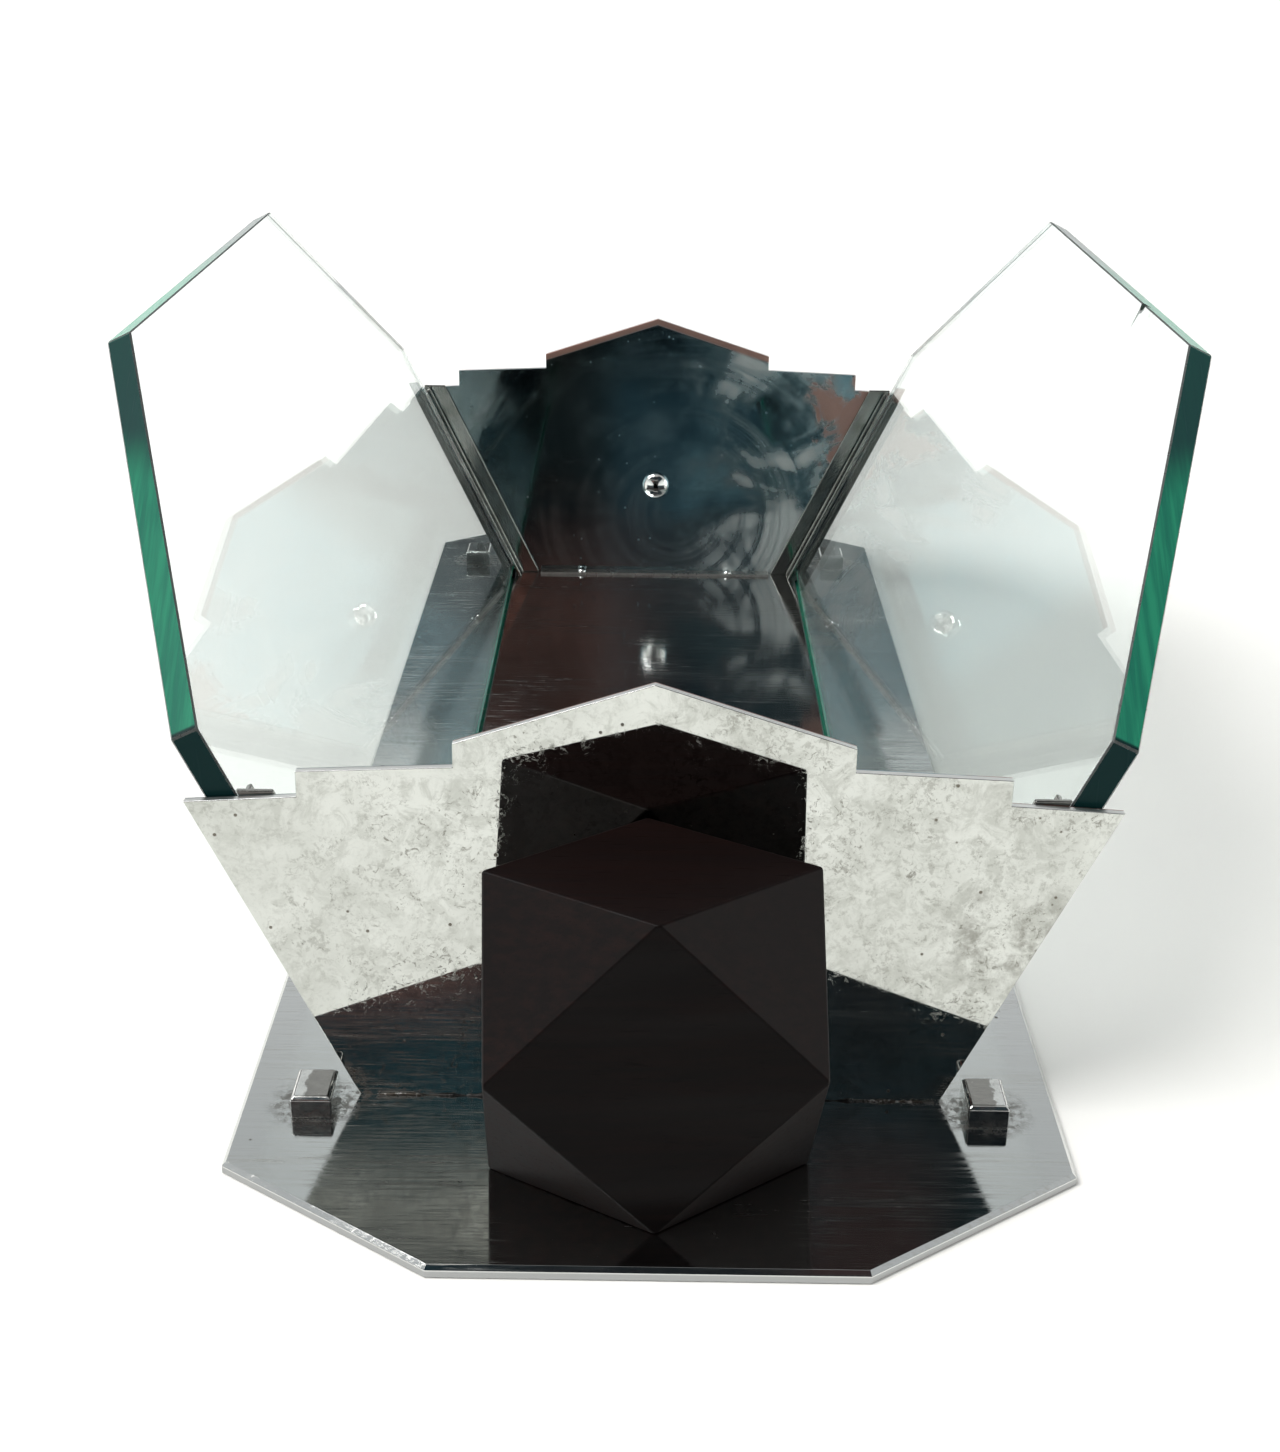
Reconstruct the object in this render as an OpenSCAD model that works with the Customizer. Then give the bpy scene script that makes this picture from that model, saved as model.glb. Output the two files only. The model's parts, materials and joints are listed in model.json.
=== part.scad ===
/* [Base plate] */
// Overall length of the base plate
base_l = 380; // [340:5:460]
// Width of the base plate
base_w = 140; // [130:1:180]
// Width of the straight edge at each end
base_end_w = 68; // [56:1:90]
// Length that each cut corner takes off a long side
base_corner_l = 26; // [16:1:40]
// Thickness of the base plate
base_t = 2; // [1.8:0.1:4]
// Bevel around the top edge
base_bevel = 0.7; // [0.2:0.1:1]

/* [End plates] */
// Clear length of the trough between the two end plates
trough_l = 284; // [230:2:300]
// Thickness of an end plate
plate_t = 1.5; // [1:0.1:3]
// Width of an end plate at its foot
plate_foot_w = 100; // [80:1:112]
// Width of an end plate across its shoulders
plate_shoulder_w = 153; // [130:1:190]
// Height of the shoulders above the base plate
shoulder_h = 55.5; // [45:0.5:75]
// Width across the outer pair of steps
outer_step_w = 116; // [100:1:125]
// Height of an outer step
outer_step_h = 4.5; // [2:0.1:8]
// Width across the inner pair of steps
inner_step_w = 65; // [50:1:80]
// Height of an inner step
inner_step_h = 4.1; // [2:0.1:8]
// Rise of each nearly level shelf towards the middle
shelf_rise = 1.1; // [0:0.1:3]
// Rise of the centre peak above the inner steps
peak_rise = 10.6; // [4:0.2:20]

/* [Glass panels] */
// Thickness of the glass
glass_t = 5; // [4:0.5:8]
// Height of a panel, measured up its slope
glass_h = 127; // [100:1:160]
// Height up the slope at which the ends start to slant
glass_shoulder = 72.5; // [66:0.5:90]
// Length of a panel's top edge
glass_top_l = 143; // [80:1:200]
// Gap between a panel's end and the end plate
glass_end_clear = 0.5; // [0.3:0.1:1]
// Gap on each face of the glass inside its channel
glass_clear = 0.3; // [0.2:0.05:0.6]

/* [Glass channels] */
// Distance from the end plate's slanted edge to the outer strip
strip_inset = 1; // [0.2:0.1:2]
// Thickness of the outer strip
strip_t = 1.5; // [0.8:0.1:2]
// Thickness of the inner angle
angle_t = 1; // [0.8:0.1:2]
// Leg width of the angle, and depth of the strip
channel_d = 5.5; // [4:0.5:8]
// Length of the channel, measured up the slope
channel_l = 57.5; // [50:0.5:66]
// Height of the angle's flat leg above the plate's shoulder
angle_rise = 1.4; // [0.5:0.1:3]

/* [Wood blocks] */
// Width of a block across its side points
block_w = 52.5; // [40:0.5:60]
// Depth of a block from its front point to its back face
block_d = 36.5; // [28:0.5:44]
// Height of a block
block_h = 54.5; // [44:0.5:62]
// Slight turn with which each block stands on the base
block_turn = 3; // [0:0.5:5]
// Smallest gap between a block and its end plate
block_clear = 0.1; // [0.1:0.05:1]

/* [Block fixings] */
// Shank diameter of the block screw
screw_d = 4; // [3:0.5:5]
// Length of the block screw below its head
screw_l = 25; // [16:1:30]
// Diameter of the domed screw head
head_d = 8; // [6:0.5:10]
// Height of the domed screw head
head_h = 2.6; // [2:0.1:3.5]
// Width of the cross slots in the head
recess_w = 1.3; // [0.8:0.1:1.8]
// Length of the cross slots in the head
recess_l = 5.1; // [3:0.1:5.8]
// Depth of the cross slots in the head
recess_depth = 1.5; // [0.8:0.1:1.8]
// Diameter of the spacing washer behind the end plate
washer_d = 10; // [8:0.5:14]
// Thickness of the spacing washer
washer_t = 1; // [0.5:0.1:2]
// Gap all round a shank in its hole
hole_clear = 0.1; // [0.05:0.05:0.4]

/* [Corner lugs] */
// Width of a lug, across the base
lug_w = 7; // [5:0.5:10]
// Depth of a lug, along the base
lug_d = 9.5; // [7:0.5:14]
// Height of a lug
lug_h = 4.2; // [3:0.1:8]
// Bevel around the top of a lug
lug_bevel = 0.6; // [0.2:0.1:1]
// Distance from the end plate's foot corner to the lug
lug_gap = 3.8; // [2:0.1:8]
// Distance that a lug stands out past the end plate's outer face
lug_out = 7.7; // [5:0.1:9]
// Thread diameter of the lug screw
lug_screw_d = 3; // [2:0.5:4]
// Head diameter of the countersunk lug screw
lug_head_d = 5.5; // [4.5:0.1:6.5]
// Height of the countersunk head
lug_head_h = 1.5; // [1:0.1:1.7]
// Width of the driver slot in a lug screw
lug_slot_w = 0.7; // [0.4:0.1:1.2]
// Depth of the driver slot in a lug screw
lug_slot_depth = 0.5; // [0.3:0.1:0.8]
// Metal left above the blind hole in a lug
lug_roof = 1.2; // [0.6:0.1:2]

/* [Foot strips] */
// Width of the strip along each end plate's foot
foot_strip_w = 3.2; // [2.5:0.1:6]
// Thickness of the foot strip
foot_strip_t = 0.7; // [0.5:0.1:1.5]
// Gap between the foot strip and the inner angles
foot_strip_gap = 0.5; // [0.2:0.1:2]
// Distance between the two rivets of a foot strip
rivet_spacing = 44; // [20:1:56]
// Shank diameter of a rivet
rivet_d = 1.6; // [1.2:0.1:2]
// Head diameter of a rivet
rivet_head_d = 2.6; // [2.1:0.1:3]
// Height of a rivet's domed head
rivet_head_h = 0.8; // [0.5:0.1:1]
// Height of a rivet's closed end in its countersink
rivet_tail_h = 0.6; // [0.4:0.1:1]

/* [Hidden] */

$fn = 64;
over = 1;                                // how far a cut runs past the face it opens

// End plate outline, and the slope of its slanted sides
lean = atan((plate_shoulder_w - plate_foot_w) / 2 / shoulder_h);
foot_x = plate_foot_w / 2;
inner_y = trough_l / 2;
outer_y = inner_y + plate_t;
shelf_1 = base_t + shoulder_h + shelf_rise;
shelf_2 = shelf_1 + outer_step_h + shelf_rise;
peak_foot = shelf_2 + inner_step_h;

// Distances in from the plate's slanted edge, square to it
strip_in = strip_inset + strip_t;
glass_out = strip_in + glass_clear;
glass_in = glass_out + glass_t;
angle_out = glass_in + glass_clear;
angle_in = angle_out + angle_t;
leg_in = angle_out + channel_d;
glass_half_l = inner_y - glass_end_clear;

// Block, screw and washer places along the length
block_swing = block_w / 2 * sin(block_turn);
washer_swing = washer_d / 2 * sin(block_turn);
back_to_plate = max(block_swing, washer_t + washer_swing) + block_clear;
block_y = outer_y + back_to_plate + block_d / 2 * cos(block_turn);
screw_z = base_t + block_h / 2;
head_ball = dome_ball(head_d, head_h);

// Lug, foot strip and rivet places
lug_x = foot_x + lug_gap + lug_w / 2;
lug_y = outer_y + lug_out - lug_d / 2;
lug_hole_top = base_t + lug_h - lug_roof;
foot_strip_half = foot_x - leg_in / cos(lean) - foot_strip_gap;
rivet_y = inner_y - foot_strip_w / 2;
rivet_ball = dome_ball(rivet_head_d, rivet_head_h);

// Radius of the ball that a dome of diameter d and height h is cut from
function dome_ball(d, h) = (d * d / 4 + h * h) / (2 * h);

// A point `in` from the right-hand slanted edge and `up` the slope, as [x, z]
function on_slope(in, up) = [
    foot_x - in * cos(lean) + up * sin(lean),
    base_t + in * sin(lean) + up * cos(lean)
];

// Where the line `in` from the slanted edge meets height z, as [x, z]
function at_height(in, z) = [foot_x - in / cos(lean) + (z - base_t) * tan(lean), z];

// How far up the slope the line `in` from the edge meets the base
function foot_up(in) = -in * tan(lean);

// Corners of the base outline, drawn in by `inset` on every side
function base_corner(inset) =
    let (
        cut_w = (base_w - base_end_w) / 2,
        cut = sqrt(cut_w * cut_w + base_corner_l * base_corner_l),
        reach = (base_corner_l * base_end_w / 2 + cut_w * base_l / 2) / cut - inset,
        half_w = base_w / 2 - inset,
        half_l = base_l / 2 - inset
    )
    [
        [(reach * cut - cut_w * half_l) / base_corner_l, half_l],
        [half_w, (reach * cut - base_corner_l * half_w) / cut_w]
    ];

// The right-hand points of an outline, followed by their left-hand images in reverse
function mirrored(points) = [
    each points,
    for (i = [len(points) - 1:-1:0]) [-points[i][0], points[i][1]]
];

// Flat outline in the X-Z plane, made `depth` thick from `y` towards +Y
module upright(points, y, depth) {
    translate([0, y + depth, 0])
        rotate([90, 0, 0])
            linear_extrude(depth)
                polygon(points);
}

module on_left() { mirror([1, 0, 0]) children(); }

module at_front() { mirror([0, 1, 0]) children(); }

// A shank along +Z with room round it, for cutting holes
module drill(d, from, to) {
    translate([0, 0, from])
        cylinder(d = d + 2 * hole_clear, h = to - from);
}

// The four lug positions
module each_lug() {
    for (sx = [-1, 1], sy = [-1, 1])
        translate([sx * lug_x, sy * lug_y, 0])
            children();
}

// The four rivet positions
module each_rivet() {
    for (sx = [-1, 1], sy = [-1, 1])
        translate([sx * rivet_spacing / 2, sy * rivet_y, 0])
            children();
}

module base_outline(inset) {
    quarter = base_corner(inset);
    right = [quarter[0], quarter[1], [quarter[1][0], -quarter[1][1]], [quarter[0][0], -quarter[0][1]]];
    polygon(mirrored(right));
}

module base_plate() {
    color("silver")
        difference() {
            hull() {
                linear_extrude(base_t - base_bevel) base_outline(0);
                linear_extrude(base_t) base_outline(base_bevel);
            }
            each_lug() {
                drill(lug_screw_d, -over, base_t + over);
                translate([0, 0, -hole_clear])
                    cylinder(d1 = lug_head_d + 2 * hole_clear, d2 = lug_screw_d, h = lug_head_h + hole_clear);
            }
            each_rivet() {
                drill(rivet_d, -over, base_t + over);
                translate([0, 0, -hole_clear])
                    cylinder(d1 = rivet_head_d + 2 * hole_clear, d2 = rivet_d, h = rivet_tail_h + hole_clear);
            }
        }
}

// Stepped outline of an end plate
module end_plate() {
    right = [
        [foot_x, base_t],
        [plate_shoulder_w / 2, base_t + shoulder_h],
        [outer_step_w / 2, shelf_1],
        [outer_step_w / 2, shelf_1 + outer_step_h],
        [inner_step_w / 2, shelf_2],
        [inner_step_w / 2, peak_foot],
        [0, peak_foot + peak_rise]
    ];
    color("gainsboro")
        difference() {
            upright(mirrored(right), inner_y, plate_t);
            translate([0, inner_y, screw_z])
                rotate([-90, 0, 0])
                    drill(screw_d, -over, plate_t + over);
        }
}

// Six-cornered panel, drawn flat and then leaned out over its lower outer edge
module glass_panel() {
    foot = on_slope(glass_out, foot_up(glass_out));
    color("mediumaquamarine", 0.4)
        translate([foot[0], 0, foot[1]])
            rotate([0, lean, 0])
                translate([-glass_t, 0, 0])
                    rotate([90, 0, 90])
                        linear_extrude(glass_t)
                            polygon([
                                [-glass_half_l, 0],
                                [glass_half_l, 0],
                                [glass_half_l, glass_shoulder],
                                [glass_top_l / 2, glass_h],
                                [-glass_top_l / 2, glass_h],
                                [-glass_half_l, glass_shoulder]
                            ]);
}

// Angle inside the glass: one leg stands along the glass, one lies on the plate
module inner_angle() {
    leg_top = base_t + shoulder_h + angle_rise;
    color("lightgray")
        union() {
            upright([
                at_height(angle_out, base_t),
                at_height(angle_in, base_t),
                on_slope(angle_in, channel_l),
                on_slope(angle_out, channel_l)
            ], inner_y - channel_d, channel_d);
            upright([
                at_height(angle_out, base_t),
                at_height(leg_in, base_t),
                at_height(leg_in, leg_top),
                at_height(angle_out, leg_top)
            ], inner_y - angle_t, angle_t);
        }
}

// Flat strip on edge, outside the glass
module outer_strip() {
    color("lightgray")
        upright([
            at_height(strip_inset, base_t),
            at_height(strip_in, base_t),
            on_slope(strip_in, channel_l),
            on_slope(strip_inset, channel_l)
        ], inner_y - channel_d, channel_d);
}

// Block with every corner cut back to the middles of its edges
module wood_block() {
    half = [block_w / 2, block_d / 2, block_h / 2];
    corners = [
        for (a = [-1, 1], b = [-1, 1])
            each [[a * half[0], b * half[1], 0], [a * half[0], 0, b * half[2]], [0, a * half[1], b * half[2]]]
    ];
    color("#2b1712")
        difference() {
            translate([0, block_y, base_t + half[2]])
                rotate([0, 0, -block_turn])
                    hull()
                        polyhedron(corners, [[for (i = [0:len(corners) - 1]) i]]);
            translate([0, inner_y, screw_z])
                rotate([-90, 0, 0])
                    drill(screw_d, 0, screw_l + over);
        }
}

// Domed cross-slotted screw that holds a block from inside the trough
module block_screw() {
    color("whitesmoke")
        translate([0, inner_y, screw_z])
            rotate([-90, 0, 0]) {
                cylinder(d = screw_d, h = screw_l);
                difference() {
                    intersection() {
                        translate([0, 0, head_ball - head_h]) sphere(r = head_ball);
                        translate([0, 0, -head_h]) cylinder(d = head_d, h = head_h);
                    }
                    for (turn = [0, 90])
                        rotate([0, 0, turn])
                            translate([-recess_l / 2, -recess_w / 2, -head_h - over])
                                cube([recess_l, recess_w, recess_depth + over]);
                }
            }
}

// Spacing washer between the end plate and the block
module block_washer() {
    color("dimgray")
        translate([0, outer_y, screw_z])
            rotate([-90, 0, 0])
                difference() {
                    cylinder(d = washer_d, h = washer_t);
                    drill(screw_d, -over, washer_t + over);
                }
}

// Strip along the foot of an end plate, inside the trough
module foot_strip() {
    color("lightgray")
        difference() {
            translate([-foot_strip_half, inner_y - foot_strip_w, base_t])
                cube([2 * foot_strip_half, foot_strip_w, foot_strip_t]);
            each_rivet() drill(rivet_d, 0, base_t + foot_strip_t + over);
        }
}

// Two rivets with domed heads above and closed ends flush below
module foot_rivets() {
    seat = base_t + foot_strip_t;
    color("whitesmoke")
        for (sx = [-1, 1])
            translate([sx * rivet_spacing / 2, rivet_y, 0]) {
                cylinder(d = rivet_d, h = seat);
                cylinder(d1 = rivet_head_d, d2 = rivet_d, h = rivet_tail_h);
                intersection() {
                    translate([0, 0, seat + rivet_head_h - rivet_ball]) sphere(r = rivet_ball);
                    translate([0, 0, seat]) cylinder(d = rivet_head_d, h = rivet_head_h);
                }
            }
}

// Bevelled lug beside the foot of an end plate
module corner_lug() {
    inner_w = lug_w - 2 * lug_bevel;
    inner_d = lug_d - 2 * lug_bevel;
    color("silver")
        difference() {
            hull() {
                translate([lug_x - lug_w / 2, lug_y - lug_d / 2, base_t])
                    cube([lug_w, lug_d, lug_h - lug_bevel]);
                translate([lug_x - inner_w / 2, lug_y - inner_d / 2, base_t])
                    cube([inner_w, inner_d, lug_h]);
            }
            translate([lug_x, lug_y, 0])
                drill(lug_screw_d, 0, lug_hole_top);
        }
}

// Countersunk screw that holds a lug from under the base
module lug_screw() {
    color("dimgray")
        translate([lug_x, lug_y, 0])
            difference() {
                union() {
                    cylinder(d = lug_screw_d, h = lug_hole_top - hole_clear);
                    cylinder(d1 = lug_head_d, d2 = lug_screw_d, h = lug_head_h);
                }
                translate([-lug_head_d / 2, -lug_slot_w / 2, -over])
                    cube([lug_head_d, lug_slot_w, over + lug_slot_depth]);
            }
}

base_plate();
at_front() end_plate();  // end_plate_front
end_plate();  // end_plate_rear
on_left() glass_panel();  // glass_left
glass_panel();  // glass_right
at_front() on_left() inner_angle();  // inner_angle_front_left
at_front() inner_angle();  // inner_angle_front_right
on_left() inner_angle();  // inner_angle_rear_left
inner_angle();  // inner_angle_rear_right
at_front() on_left() outer_strip();  // outer_strip_front_left
at_front() outer_strip();  // outer_strip_front_right
on_left() outer_strip();  // outer_strip_rear_left
outer_strip();  // outer_strip_rear_right
at_front() wood_block();  // wood_block_front
wood_block();  // wood_block_rear
at_front() block_screw();  // block_screw_front
block_screw();  // block_screw_rear
at_front() block_washer();  // block_washer_front
block_washer();  // block_washer_rear
at_front() foot_strip();  // foot_strip_front
foot_strip();  // foot_strip_rear
at_front() foot_rivets();  // foot_rivets_front
foot_rivets();  // foot_rivets_rear
at_front() on_left() corner_lug();  // corner_lug_front_left
at_front() corner_lug();  // corner_lug_front_right
on_left() corner_lug();  // corner_lug_rear_left
corner_lug();  // corner_lug_rear_right
at_front() on_left() lug_screw();  // lug_screw_front_left
at_front() lug_screw();  // lug_screw_front_right
on_left() lug_screw();  // lug_screw_rear_left
lug_screw();  // lug_screw_rear_right
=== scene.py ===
import json
import math

import bmesh
import bpy
from mathutils import Matrix, Vector


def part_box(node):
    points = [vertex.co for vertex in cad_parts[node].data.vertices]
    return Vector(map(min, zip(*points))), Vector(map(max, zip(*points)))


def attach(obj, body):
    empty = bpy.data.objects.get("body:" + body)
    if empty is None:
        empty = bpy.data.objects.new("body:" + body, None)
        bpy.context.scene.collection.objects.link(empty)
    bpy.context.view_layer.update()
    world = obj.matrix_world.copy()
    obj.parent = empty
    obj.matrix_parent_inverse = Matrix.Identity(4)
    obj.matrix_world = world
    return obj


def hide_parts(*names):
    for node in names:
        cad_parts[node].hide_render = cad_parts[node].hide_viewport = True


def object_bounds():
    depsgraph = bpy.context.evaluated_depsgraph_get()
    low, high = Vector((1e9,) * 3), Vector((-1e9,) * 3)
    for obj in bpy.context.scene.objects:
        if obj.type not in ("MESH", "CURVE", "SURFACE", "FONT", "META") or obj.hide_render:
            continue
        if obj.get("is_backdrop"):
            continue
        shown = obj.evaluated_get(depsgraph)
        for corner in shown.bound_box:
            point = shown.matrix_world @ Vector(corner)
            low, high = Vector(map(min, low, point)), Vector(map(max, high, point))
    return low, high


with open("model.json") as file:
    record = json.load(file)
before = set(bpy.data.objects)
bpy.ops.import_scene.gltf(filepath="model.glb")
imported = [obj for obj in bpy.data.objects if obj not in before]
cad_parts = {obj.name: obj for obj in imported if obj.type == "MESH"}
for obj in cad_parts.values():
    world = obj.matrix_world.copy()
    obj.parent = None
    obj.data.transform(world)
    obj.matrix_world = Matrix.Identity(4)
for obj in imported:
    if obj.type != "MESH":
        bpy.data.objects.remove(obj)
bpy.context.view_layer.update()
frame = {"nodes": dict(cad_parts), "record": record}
nodes = frame["nodes"]
bodies = frame["record"]["behaviour"]["bodies"]
slotOf = {part["node"]: part["material_slot"] for part in frame["record"]["subparts"]}
bodyOf = {name: body for body, members in bodies.items() for name in members}
mm = 0.001
ends = {"front": -1, "rear": 1}
print("frame loaded:", len(nodes), "nodes")


class Wire:  # a socket that can be used in sums
    def __init__(self, graph, socket):
        self.graph = graph
        self.socket = socket

    def maths(self, operation, *others):
        values = dict(enumerate((self, *others)))
        return self.graph.add(self.graph.mathNode, {"operation": operation}, values)

    def __add__(self, other):
        return self.maths("ADD", other)

    def __sub__(self, other):
        return self.maths("SUBTRACT", other)

    def __mul__(self, other):
        return self.maths("MULTIPLY", other)

    def __truediv__(self, other):
        return self.maths("DIVIDE", other)

    def __gt__(self, other):
        return self.maths("GREATER_THAN", other)

    def __radd__(self, other):
        return self.graph.add(self.graph.mathNode, {"operation": "ADD"}, {0: other, 1: self})

    def __rsub__(self, other):
        return self.graph.add(self.graph.mathNode, {"operation": "SUBTRACT"}, {0: other, 1: self})

    def __rmul__(self, other):
        return self.graph.add(self.graph.mathNode, {"operation": "MULTIPLY"}, {0: other, 1: self})

    def size(self):
        return self.maths("ABSOLUTE")

    def most(self, other):
        return self.maths("MAXIMUM", other)

    def root(self):
        return self.maths("SQRT")

    def ease(self, low, high):  # 0 below low, 1 above high, smooth between
        flip = high < low
        values = {0: self, 1: min(low, high), 2: max(low, high), 3: float(flip), 4: float(not flip)}
        return self.graph.add("ShaderNodeMapRange", {"interpolation_type": "SMOOTHSTEP"}, values)

    def other(self, output):
        return Wire(self.graph, self.socket.node.outputs[output])


class Graph:
    mathNode = "ShaderNodeMath"

    def __init__(self, tree):
        self.tree = tree

    def add(self, kind, settings=None, values=None, output=0):
        made = self.tree.nodes.new(kind)
        for key, value in (settings or {}).items():
            if key == "stops":
                self.fillRamp(made.color_ramp, value)
            else:
                setattr(made, key, value)
        for key, value in (values or {}).items():
            self.plug(made.inputs[key], value)
        return Wire(self, made.outputs[output]) if len(made.outputs) else made

    def fillRamp(self, ramp, stops):
        while len(ramp.elements) < len(stops):
            ramp.elements.new(0.5)
        for element, (place, colour) in zip(ramp.elements, stops):
            element.position = place
            element.color = (*colour, 1)

    def plug(self, socket, value):
        if isinstance(value, Wire):
            self.tree.links.new(value.socket, socket)
        elif socket.type == "RGBA" and len(value) == 3:
            socket.default_value = (*value, 1)
        else:
            socket.default_value = value


class Finish(Graph):  # one material, painted from Object coordinates
    def __init__(self, name, **constants):
        self.material = bpy.data.materials.new(name)
        self.material.use_nodes = True
        super().__init__(self.material.node_tree)
        self.shader = self.tree.nodes["Principled BSDF"]
        self.place = self.add("ShaderNodeTexCoord", output="Object")
        for key, value in constants.items():
            self.plug(self.shader.inputs[key.replace("_", " ")], value)

    def set(self, **values):
        for key, value in values.items():
            self.plug(self.shader.inputs[key.replace("_", " ")], value)
        return self

    def stretch(self, scale=(1, 1, 1), turn=(0, 0, 0), shift=(0, 0, 0)):
        values = {"Vector": self.place, "Scale": scale, "Rotation": turn, "Location": shift}
        return self.add("ShaderNodeMapping", None, values)

    def noise(self, grain, detail=3.0, rough=0.55, warp=0.0, where=None, **mapping):
        values = {"Vector": where or (self.stretch(**mapping) if mapping else self.place)}
        values.update({"Scale": 1 / (grain * mm), "Detail": detail})  # grain: size of a blotch, in mm
        values.update({"Roughness": rough, "Distortion": warp})
        return self.add("ShaderNodeTexNoise", None, values)

    def dots(self, spacing, size, share, shift=(0, 0, 0)):  # scattered round pits, as a mask
        values = {"Vector": self.stretch(shift=shift), "Scale": 1 / (spacing * mm)}
        cell = self.add("ShaderNodeTexVoronoi", None, values)
        luck = self.add("ShaderNodeSeparateColor", None, {0: cell.other("Color")})
        chosen = luck > (1 - share)
        radius = (luck.other("Green") * 0.8 + 0.3) * (size / spacing)
        return (1 - cell / radius).ease(0.0, 0.5) * chosen

    def mix(self, factor, first, second):  # first where the factor is 0, second where it is 1
        values = {0: factor, 6: first, 7: second}
        return self.add("ShaderNodeMix", {"data_type": "RGBA"}, values, output=2)

    def axes(self):  # x, y and z of the point, in metres
        split = self.add("ShaderNodeSeparateXYZ", None, {0: self.place})
        return split, split.other("Y"), split.other("Z")

    def facing(self):  # x, y and z of the surface's own direction
        normal = self.add("ShaderNodeTexCoord", output="Normal")
        split = self.add("ShaderNodeSeparateXYZ", None, {0: normal})
        return split, split.other("Y"), split.other("Z")

    def relief(self, height, strength, depth=0.1):  # depth in mm
        values = {"Height": height, "Strength": strength, "Distance": depth * mm}
        return self.set(Normal=self.add("ShaderNodeBump", None, values))


def between(value, start, full, fade, end):  # 0 outside start and end, 1 from full to fade
    return value.ease(start, full) * value.ease(end, fade)


def distance(first, second, place):  # from a place in mm, in metres
    one, two = first - place[0] * mm, second - place[1] * mm
    return (one * one + two * two).root()


plateLook = {  # polished nickel and its tarnish, with a painted highlight for the top edges and painted shade for the inner face; places across and above the base, sizes in mm
    "bright": (0.67, 0.69, 0.655), "dull": (0.48, 0.495, 0.46), "fleck": (0.17, 0.165, 0.14),
    "stain": (0.10, 0.085, 0.06), "rust": (0.12, 0.032, 0.016), "topHighlight": (0.93, 0.93, 0.91),
    "paintedShadeTeal": (0.21, 0.37, 0.43), "shadow": (0.02, 0.035, 0.04), "smear": (0.56, 0.60, 0.60),
    "copper": (0.44, 0.22, 0.17), "polish": 0.012, "smudge": (59, 35), "smudgeReach": (15, 4),
    "wipe": (6, 20), "arc": 33, "rim": (2.4, 1.2), "rimWidth": (34, 32), "rimSlope": 0.326,
}


def speckledNickel():  # end plates, tarnished outside and smeared inside
    look = plateLook
    f = Finish("speckledNickel", Metallic=1.0)
    across, along, level = f.axes()
    cloud = f.noise(24, 5, 0.6).ease(0.36, 0.66)
    mottle = f.noise(5, 8, 0.75, 0.8).ease(0.44, 0.62)
    patch = f.noise(17, 3, 0.6, 0.5, shift=(0.31, 0.2, 0.11)).ease(0.44, 0.62)
    far, near = look["smudgeReach"]
    cluster = distance(across, level, look["smudge"]).ease(far * mm, near * mm) * along.ease(0.0, -0.01)
    patch = patch.most(cluster)
    fleck = f.noise(1.7, 5, 0.78, 1.2, shift=(0.2, 0, 0)).ease(0.57, 0.64) * (patch * 0.85 + 0.15)
    smudge = f.noise(7, 6, 0.72, shift=(0, 0, 0.4)).ease(0.44, 0.62) * cluster
    pepper = f.noise(1.3, 4, 0.75, 0.4, shift=(0.5, 0, 0.3)).ease(0.51, 0.61) * (cloud * 0.5 + patch * 0.5)
    pits = f.dots(4.2, 0.42, 0.35).most(f.dots(2.2, 0.28, 0.4, (0.4, 0.1, 0.2)) * patch)
    spots = f.dots(27, 1.1, 0.30, (0.1, 0.3, 0.6))
    scratch = f.noise(0.5, 2, 0.5, scale=(1, 1, 0.03), turn=(0, 0.5, 0)).ease(0.62, 0.72)
    tone = f.mix(cloud * 0.5, look["bright"], look["dull"])
    busy = 1 - across.ease(0.01, -0.03) * level.ease(60 * mm, 45 * mm) * 0.3  # calmer low on the left
    tone = f.mix(mottle * busy * 0.85, tone, look["dull"])
    tone = f.mix((pepper * busy * 0.58).most(smudge * 0.70), tone, look["fleck"])
    tone = f.mix(fleck * 0.75, tone, look["fleck"])
    tone = f.mix(pits * 0.85, tone, look["stain"])
    tone = f.mix(spots * 0.9, tone, look["rust"])
    top = f.facing()[2].ease(0.5, 0.8)  # painted highlight: the upward faces of the top edges are painted near white, as if catching the light
    tone = f.mix(top, tone, look["topHighlight"])
    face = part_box("end_plate_rear")[0].y
    inner = along.size().ease(face + 0.5 * mm, face + 0.2 * mm)
    smear, worn, dim = wipedFace(f, across, level)
    tone = f.mix(inner * 0.94, tone, dim)
    dirt = fleck * 0.10 + smudge * 0.05 + pits * 0.3 + scratch * 0.04
    wiped = (inner * smear.most(worn)).most(top * 0.7) * 0.46
    gloss = look["polish"] + cloud * 0.015 + mottle * 0.015 + wiped + dirt
    f.set(Base_Color=tone, Roughness=gloss)
    return f.relief(f.noise(60, 2) * 0.5 - pits * 0.5 - fleck * 0.15 + scratch * 0.05, 0.3, 0.05).material


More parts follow.
